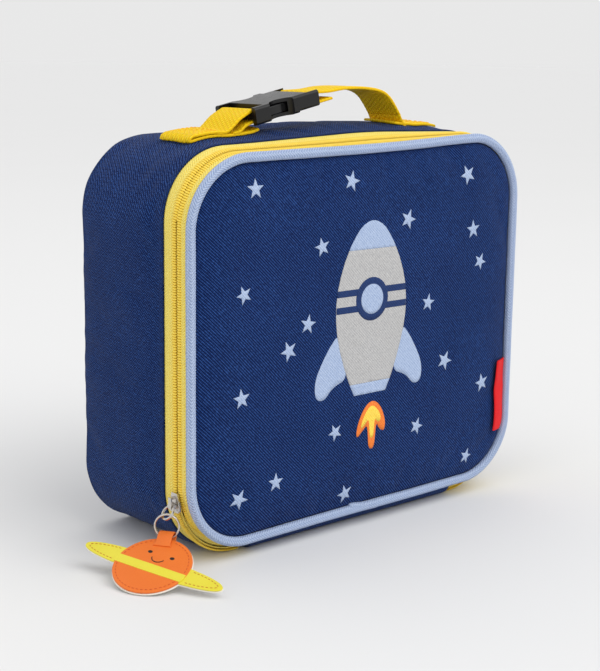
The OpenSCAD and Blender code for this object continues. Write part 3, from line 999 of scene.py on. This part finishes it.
def ribbon(name, line, width=25.0, thick=1.5, warp=None, **more):
    """Webbing along line, points (x, z). Its two long edges are rounded and scalloped by the weave."""
    path = [Vector((x, z)) for x, z in line]
    dense = [path[0]]
    for i in range(len(path) - 1):
        a, b = path[max(i - 1, 0)], path[i]
        c, d = path[i + 1], path[min(i + 2, len(path) - 1)]
        n = max(1, round((c - b).length / 1.2))
        for k in range(1, n + 1):
            t = k / n
            dense.append(0.5 * (2 * b + (c - a) * t + (2 * a - 5 * b + 4 * c - d) * t * t
                                + (3 * b - a - 3 * c + d) * t ** 3))
    h = thick / 2
    ring = [(-1, 0), (-0.985, 0.6), (-0.95, 0.93)] + [(k / 5, 1) for k in range(-4, 5)] + \
           [(0.95, 0.93), (0.985, 0.6), (1, 0), (0.985, -0.6), (0.95, -0.93)] + \
           [(-k / 5, -1) for k in range(-4, 5)] + [(-0.95, -0.93), (-0.985, -0.6)]
    points, run = [], [0.0]
    for i, p in enumerate(dense):
        t = (dense[min(i + 1, len(dense) - 1)] - dense[max(i - 1, 0)]).normalized()
        if i:
            run.append(run[-1] + (p - dense[i - 1]).length)
        side = Vector((-t.y, t.x))
        half = width / 2 * (1 + 0.006 * (-1) ** i)
        for y, n in ring:
            q = (p.x + side.x * n * h, half * y, p.y + side.y * n * h)
            points.append(warp(q) if warp else q)
    m = len(ring)

    def uv(i, j):
        return run[i] * MM, ring[j % m][0] * width / 2 * MM

    last = len(dense) - 1
    faces, uvs = bar(last + 1, m, uv, [[uv(i, j) for j in range(m)] for i in (0, last)])
    return make(name, points, faces, WEB, uvs, **more)


CLOTH = surface_of("bag_fabric")


def top_of(x, y):
    """Height of the bag's soft top, a little levelled so that webbing doesn't follow every dimple."""
    found = [CLOTH.ray_cast(Vector(((x + a) * MM, (y + b) * MM, 0.3)), Vector((0, 0, -1)))[0].z / MM
             for a, b in ((0, 0), (2.5, 0), (-2.5, 0), (0, 2.5), (0, -2.5))]
    return max(found[0], sum(found) / 5)


def lie(p):
    """Sets a base of webbing down on the bag's soft top."""
    x, y, z = p
    return x, y, z + top_of(x, y) + 0.15 - H


def stitches(name, lines, mat, body, slot, length=2.2, r=0.26, space=0.8):
    """Rows of thread: short arched bars along lines of (point, up) pairs, in millimetres."""
    points, faces = [], []
    for line in lines:
        total = sum((Vector(b[0]) - Vector(a[0])).length for a, b in zip(line, line[1:]))
        count = max(1, round(total / (length + space)))

        def along(s):
            for a, b in zip(line, line[1:]):
                p, q, up, next_up = Vector(a[0]), Vector(b[0]), Vector(a[1]), Vector(b[1])
                d = (q - p).length
                if s <= d or b is line[-1]:
                    k = min(1.0, s / max(d, 1e-6))
                    return p.lerp(q, k), up.lerp(next_up, k).normalized(), (q - p).normalized()
                s -= d
        for c in range(count):
            mid = (c + 0.5) / count * total
            base = len(points)
            for i in range(5):
                t = i / 4
                p, up, way = along(mid + (t - 0.5) * length)
                side = up.cross(way)
                lift = r * (1.2 * sin(pi * t) - 0.5)
                rad = r * (0.45 if i in (0, 4) else 1)
                points += [tuple(p + up * (lift + rad * b) + side * rad * a) for a, b in disc(0, 0, 1, 6)]
            faces += bar(5, 6, base=base)[0]
    return make(name, points, faces, mat, body=body, slot=slot)


ribbon("strap_base_left", [(-86, 206.9), (-88.2, 206.6), (-88.9, 205.7), (-88.0, 204.9), (-84, 204.8),
                           (-70, 204.85), (-60, 204.8), (-52, 204.9), (-48.5, 205.3), (-46, 206.2)],
       warp=lie, body="root", slot="webbing", replaces=["webbing_base_left"])
ribbon("strap_base_fold", [(-87.0, 206.9), (-84, 206.7), (-79, 206.45), (-72, 206.4), (-66.5, 206.3)],
       thick=1.4, warp=lie, body="root", slot="webbing")
ribbon("strap_base_right", [(50.2, 205.0), (56, 204.85), (66, 204.8), (76, 204.8), (81.5, 204.75)],
       warp=lie, body="root", slot="webbing", replaces=["webbing_base_right"])

TILT = radians(12)         # the buckle's slope
LOOP_R = 2.85                   # the webbing's middle line round the buckle's bars


def on_buckle(x, y):
    """(x, z) of a point given along and across the buckle."""
    return -51 + x * cos(TILT) - y * sin(TILT), 213.6 + x * sin(TILT) + y * cos(TILT)


def turn_round(x, a0, a1, n=8):
    """The webbing's way round a bar at x, from angle a0 to a1."""
    turns = [polar(LOOP_R, a0 + (a1 - a0) * i / n) for i in range(n + 1)]
    return [on_buckle(x + dx, dy) for dx, dy in turns]


def straps():
    """The handle's webbing: it is folded round the buckle's two bars, and bends at its sewn ends."""
    left = ribbon("strap_left",
                  [(-72.5, 206.0), (-68.5, 206.0), (-65.0, 206.9), (-61.5, 209.6), (-57.5, 212.9)]
                  + turn_round(1.5, 90, -90) + [(-54.0, 209.3), (-57.8, 206.4), (-62, 205.6)],
                  slot="webbing", replaces=["webbing_left"])
    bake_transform(left)
    leg = ribbon("strap_right_leg", [(62, 205.9), (58.6, 206.2), (56.6, 207.6), (54.6, 210.6), (53.2, 213.2)],
                 slot="webbing", replaces=["webbing_right"])
    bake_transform(leg)
    bar = 29 + 15 - 1.6                         # the male half's bar, from the female half's
    over = ribbon("strap_over_top", [on_buckle(bar + u, -LOOP_R) for u in (12.5, 9, 4)]
                  + turn_round(bar, 270, 90)
                  + [(1, 225.7), (12, 227.1), (24, 227.4), (34, 226.6), (41, 224.9), (45.4, 222.3),
                     (48.6, 219), (51.2, 215.8), (53.3, 213.0)],
                  slot="webbing", replaces=["webbing_top"])
    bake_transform(over)


straps()


def box_stitch(name, x0, x1, half, lift):
    """A sewn rectangle with a cross in it."""
    up = (0, 0, 1)
    at = lambda x, y: ((x, y, top_of(x, y) + lift), up)
    n = 8
    row = lambda a, b: [at(a[0] + (b[0] - a[0]) * i / n, a[1] + (b[1] - a[1]) * i / n) for i in range(n + 1)]
    a, b, c, d = (x0, -half), (x1, -half), (x1, half), (x0, half)
    stitches(name, [row(a, b), row(b, c), row(c, d), row(d, a), row(a, c), row(b, d)],
             THREAD, "root", "webbing")


THREAD = thread_look("yellow_thread", colour(236, 172, 16))
box_stitch("stitches_left", -84.0, -70.5, 9.6, 3.30)
box_stitch("stitches_right", 63.0, 79.5, 9.6, 1.74)


# ---------------- hard parts

def finish_hard(node, mat, width):
    """Bevels a CAD node's edges for the looks; its own vertices stay."""
    o = frame["nodes"][node]
    if "custom_normal" in o.data.attributes:
        o.data.attributes.remove(o.data.attributes["custom_normal"])
    o.data.materials.clear()
    o.data.materials.append(mat)
    o.data.polygons.foreach_set("use_smooth", [True] * len(o.data.polygons))
    modifier(o, "WELD", merge_threshold=0.00001)
    modifier(o, "BEVEL", width=width, segments=3, limit_method="ANGLE", angle_limit=radians(38),
             harden_normals=True)


for node, width in (("buckle_female", 0.0007), ("buckle_male", 0.0006), ("latch_arm_front", 0.0005),
                    ("latch_arm_back", 0.0005)):
    finish_hard(node, PLASTIC, width)
for node, width in (("slider_body", 0.00022), ("slider_bridge", 0.0002), ("slider_pull", 0.00018),
                    ("zipper_stops", 0.0002)):
    finish_hard(node, METAL, width)
frame["nodes"]["split_ring"].data.materials.clear()
frame["nodes"]["split_ring"].data.materials.append(METAL)


# ---------------- planet tag

DISC, REACH = 19.3, 20.5        # the disc's radius, and its middle's distance from the tag's pivot
TAG_TILT = radians(-15)    # how far the planet's ring is turned
TAG_WHITE = leather("tag_cream", colour(232, 226, 212), colour(250, 247, 238))
TAG_ORANGE = leather("tag_orange_leather", colour(226, 104, 24), colour(242, 132, 48))
TAG_YELLOW = leather("tag_yellow_leather", colour(222, 208, 40), colour(240, 230, 84))
BROWN = thread_look("brown_thread", colour(176, 82, 16))
PALE = thread_look("orange_thread", colour(186, 76, 20))
FACE_INK = thread_look("face_ink", colour(26, 18, 14))


def tag_place():
    """From the disc's plane to the tag's place: turned to the left, its lower edge on the table."""
    knot = Vector(next(j["pos_m"] for j in frame["joints"] if j["name"] == "tag_swing"))
    thick, clear, yaw = 2.3, 0.1, radians(-57)
    lean = math.asin((knot.z / MM - thick / 2 - clear) / (DISC + REACH))
    return Matrix.Translation(knot) @ Matrix.Rotation(yaw, 4, "Z") @ Matrix.Rotation(lean, 4, "X") \
        @ Matrix.Translation((0, -REACH * MM, 0))


PLACE = tag_place()
TAG_UP = tuple((PLACE.to_3x3() @ Vector((0, 0, 1))).normalized())


def on_tag(x, y, z):
    """A point on the tag, and its way up."""
    return tuple((PLACE @ Vector((x * MM, y * MM, z * MM))) / MM), TAG_UP


def turn(x, y):
    """From along and across the planet's ring to the disc's x and y."""
    c, s = cos(TAG_TILT), sin(TAG_TILT)
    return x * c - y * s, x * s + y * c


def slab(name, outline, z0, z1, mat, slot, round_by, replaces=()):
    """Layer cut along an outline, with softened edges."""
    bm = bmesh.new()
    rows = []
    n = len(outline)
    for z, grow in ((z0, -round_by), (z0 + round_by, 0), (z1 - round_by, 0),
                    (z1 - round_by * 0.3, -round_by * 0.35), (z1, -round_by)):
        row = []
        for i in range(n):
            t = (Vector(outline[(i + 1) % n]) - Vector(outline[i - 1])).normalized()
            x, y = Vector(outline[i]) + Vector((t.y, -t.x)) * grow
            row.append(bm.verts.new(PLACE @ Vector((x * MM, y * MM, z * MM))))
        rows.append(row)
    for a, b in zip(rows, rows[1:]):
        for i in range(n):
            k = (i + 1) % n
            bm.faces.new((a[i], a[k], b[k], b[i]))
    bm.faces.new(rows[-1])
    bm.faces.new(list(reversed(rows[0])))
    bmesh.ops.recalc_face_normals(bm, faces=bm.faces)
    bmesh.ops.triangulate(bm, faces=[f for f in bm.faces if len(f.verts) > 4])
    me = bpy.data.meshes.new(name)
    bm.to_mesh(me)
    bm.free()
    me.materials.append(mat)
    put(name, me, "tag", slot, replaces)


def tag_layers():
    """Disc and ring with their backings, glued on each other."""
    circle = disc(0, 0, DISC, 96)
    # the ring is a flat oval; its ends come out from behind the disc
    band = [turn(39 * math.copysign(abs(x) ** 0.8, x), 5.9 * math.copysign(abs(y) ** 0.9, y))
            for x, y in disc(0, 0, 1, 96)]
    slab("tag_backing_disc", circle, -1.15, -0.3, TAG_WHITE, "tag_white", 0.25, ["tag_back"])
    slab("tag_backing_band", [(x * 1.006, y * 1.006) for x, y in band], -1.12, -0.32, TAG_WHITE,
         "tag_white", 0.22)
    slab("tag_band", band, -0.3, 0.42, TAG_YELLOW, "tag_yellow", 0.22, ["tag_ring"])
    slab("tag_disc", [(x * 0.985, y * 0.985) for x, y in circle], -0.28, 0.82, TAG_ORANGE, "tag_orange",
         0.3, ["tag_planet"])
    edge = math.sqrt((DISC - 0.3) ** 2 - 2.6 ** 2)
    strip = [(-edge, -4.9), (-9, -5.0), (0, -5.05), (9, -5.0), (edge, -4.9), (edge + 0.3, -2.4), (edge, 0.2),
             (9, 0.25), (0, 0.3), (-9, 0.25), (-edge, 0.2), (-edge - 0.3, -2.4)]
    slab("tag_band_front", [turn(x, y) for x, y in strip], 0.3, 1.12, TAG_YELLOW, "tag_yellow", 0.18)


def tag_threads():
    """Edge stitches on the disc, and a loop of them on each end of the ring."""
    def arc(a0, a1, r=17.3, z=0.84, n=40):
        return [on_tag(*polar(r, a0 + (a1 - a0) * i / n), z) for i in range(n + 1)]

    stitches("tag_disc_stitches", [arc(-12, 72), arc(108, 162), arc(182, 328)],
             PALE, "tag", "tag_orange", length=1.5, r=0.17, space=0.75)
    loops = []
    for s in (-1, 1):
        line = []
        for i in range(17):
            c, t = polar(1, -90 + 180 * i / 16)
            x = s * (REACH + 16.2 * max(0, c) ** 0.75)
            line.append(on_tag(*turn(x, 3.9 * t * (1 - 0.35 * max(0, c))), 0.44))
        loops.append(line)
    stitches("tag_band_stitches", loops, BROWN, "tag", "tag_yellow", length=1.5, r=0.15, space=0.6)


def tube(name, line, r, mat, body, slot):
    """Round bar along (point, up) pairs."""
    points, n = [], 8
    for i, (p, up) in enumerate(line):
        a, b = Vector(line[max(i - 1, 0)][0]), Vector(line[min(i + 1, len(line) - 1)][0])
        t, u = (b - a).normalized(), Vector(up)
        side = u.cross(t)
        k = 0.5 if i in (0, len(line) - 1) else 1
        points += [tuple(Vector(p) + (u * sin(TAU * j / n) + side * cos(TAU * j / n)) * r * k)
                   for j in range(n)]
    make(name, points, bar(len(line), n)[0], mat, body=body, slot=slot)


def tag_face():
    """Two low ovals of ink and a smile."""
    for i, middle in enumerate((-6.3, 6.3)):
        at, points = Vector(turn(middle, 7.4)), []
        for grow, high in ((1.0, -0.1), (0.96, 0.06), (0.6, 0.12)):
            points += [on_tag(*(at + Vector(turn(1.25 * grow * x, 0.95 * grow * y))), 0.82 + high)[0]
                       for x, y in disc(0, 0, 1, 24)]
        make(f"tag_eye_{i}", points, bar(3, 24)[0], FACE_INK, body="tag", slot="tag_orange")
    smile = []
    for a in range(-165, -14, 10):
        x, y = polar(1, a)
        smile.append(on_tag(*turn(3.5 * x, 5.6 + 3.4 * y), 0.86))
    tube("tag_smile", smile, 0.24, FACE_INK, "tag", "tag_orange")


def tag_loop():
    """The tab is folded over the split ring and glued to the disc's back."""
    r, w = 2.95, 7.4
    line = [(13.2, 1.1), (15.2, 1.25), (17.0, 1.9), (18.2, 2.6)]
    line += [(REACH + y, z) for y, z in (polar(r, a) for a in range(118, -119, -16))]
    line += [(18.2, -2.1), (17.0, -1.3), (15.2, -1.0)]
    points = []
    for i, (y, z) in enumerate(line):
        a, b = line[max(i - 1, 0)], line[min(i + 1, len(line) - 1)]
        t = Vector((b[0] - a[0], b[1] - a[1])).normalized()
        out = Vector((-t.y, t.x)) * 0.36
        half = w / 2 + (0.9 * ease((15.6 - y) / 3) if z > 0 else 0)
        for x, k in ((-half, 1), (half, 1), (half, -1), (-half, -1)):
            points.append(on_tag(x, y + out.x * k, z + out.y * k)[0])
    o = make("tag_loop_fold", points, bar(len(line), 4)[0], TAG_ORANGE, body="tag", slot="tag_orange",
             replaces=["tag_loop"])
    modifier(o, "BEVEL", width=0.00016, segments=2, limit_method="ANGLE", angle_limit=radians(50))


tag_layers()
tag_threads()
tag_face()
tag_loop()


# ---------------- studio

def studio():
    """White paper under a white sky, one soft sun and three weak lamps."""
    me = bpy.data.meshes.new("studio_floor")
    me.from_pydata([(-30, -30, 0), (30, -30, 0), (30, 30, 0), (-30, 30, 0)], [], [(0, 1, 2, 3)])
    floor = put("studio_floor", me)
    m = Mat("paper", Roughness=0.9, Specular_IOR_Level=0.1)
    m.paint(m.mix(m.noise(3, 2), (0.795, 0.795, 0.795, 1), (0.805, 0.805, 0.805, 1)))
    me.materials.append(m.mat)

    world = bpy.context.scene.world or bpy.data.worlds.new("studio")
    bpy.context.scene.world = world
    world.use_nodes = True
    sky = world.node_tree.nodes["Background"]
    sky.inputs[0].default_value, sky.inputs[1].default_value = (1.0, 1.0, 1.0, 1), 0.81

    def lamp(name, at, size, power):
        data = bpy.data.lights.new(name, "AREA")
        data.size, data.energy = size, power
        o = put(name, data)
        o.location = at
        o.rotation_euler = (Vector((0, 0, 0.1)) - Vector(at)).to_track_quat("-Z", "Y").to_euler()

    lamp("key", (0.35, -1.5, 1.4), 1.2, 5)
    lamp("top", (-0.1, 0.2, 1.9), 1.6, 2.5)
    lamp("left", (-1.8, -0.5, 0.8), 0.9, 1.5)
    sun = bpy.data.lights.new("sky", "SUN")
    sun.energy, sun.angle = 0.8, radians(50)
    put("sky", sun).rotation_euler = Vector((-0.2, 0.6, -0.77)).to_track_quat("-Z", "Y").to_euler()


def camera():
    """Where the photograph was taken from, in the part's frame."""
    yaw, pitch, roll = 0.7231, 0.195, 0.0133
    fwd = Vector((sin(yaw) * cos(pitch), cos(yaw) * cos(pitch), -sin(pitch)))
    right = Vector((cos(yaw), -sin(yaw), 0))
    up = right.cross(fwd)
    right, up = right * cos(roll) + up * sin(roll), up * cos(roll) - right * sin(roll)
    data = bpy.data.cameras.new("camera")
    data.lens, data.sensor_width = 76.3, 36
    data.clip_start, data.clip_end = 0.05, 50
    o = put("camera", data)
    o.matrix_world = Matrix((
        (right.x, up.x, -fwd.x, -0.5039), (right.y, up.y, -fwd.y, -0.5640),
        (right.z, up.z, -fwd.z, 0.2442), (0, 0, 0, 1)))
    bpy.context.scene.camera = o


studio()
camera()
bpy.context.scene.view_settings.view_transform = "Standard"
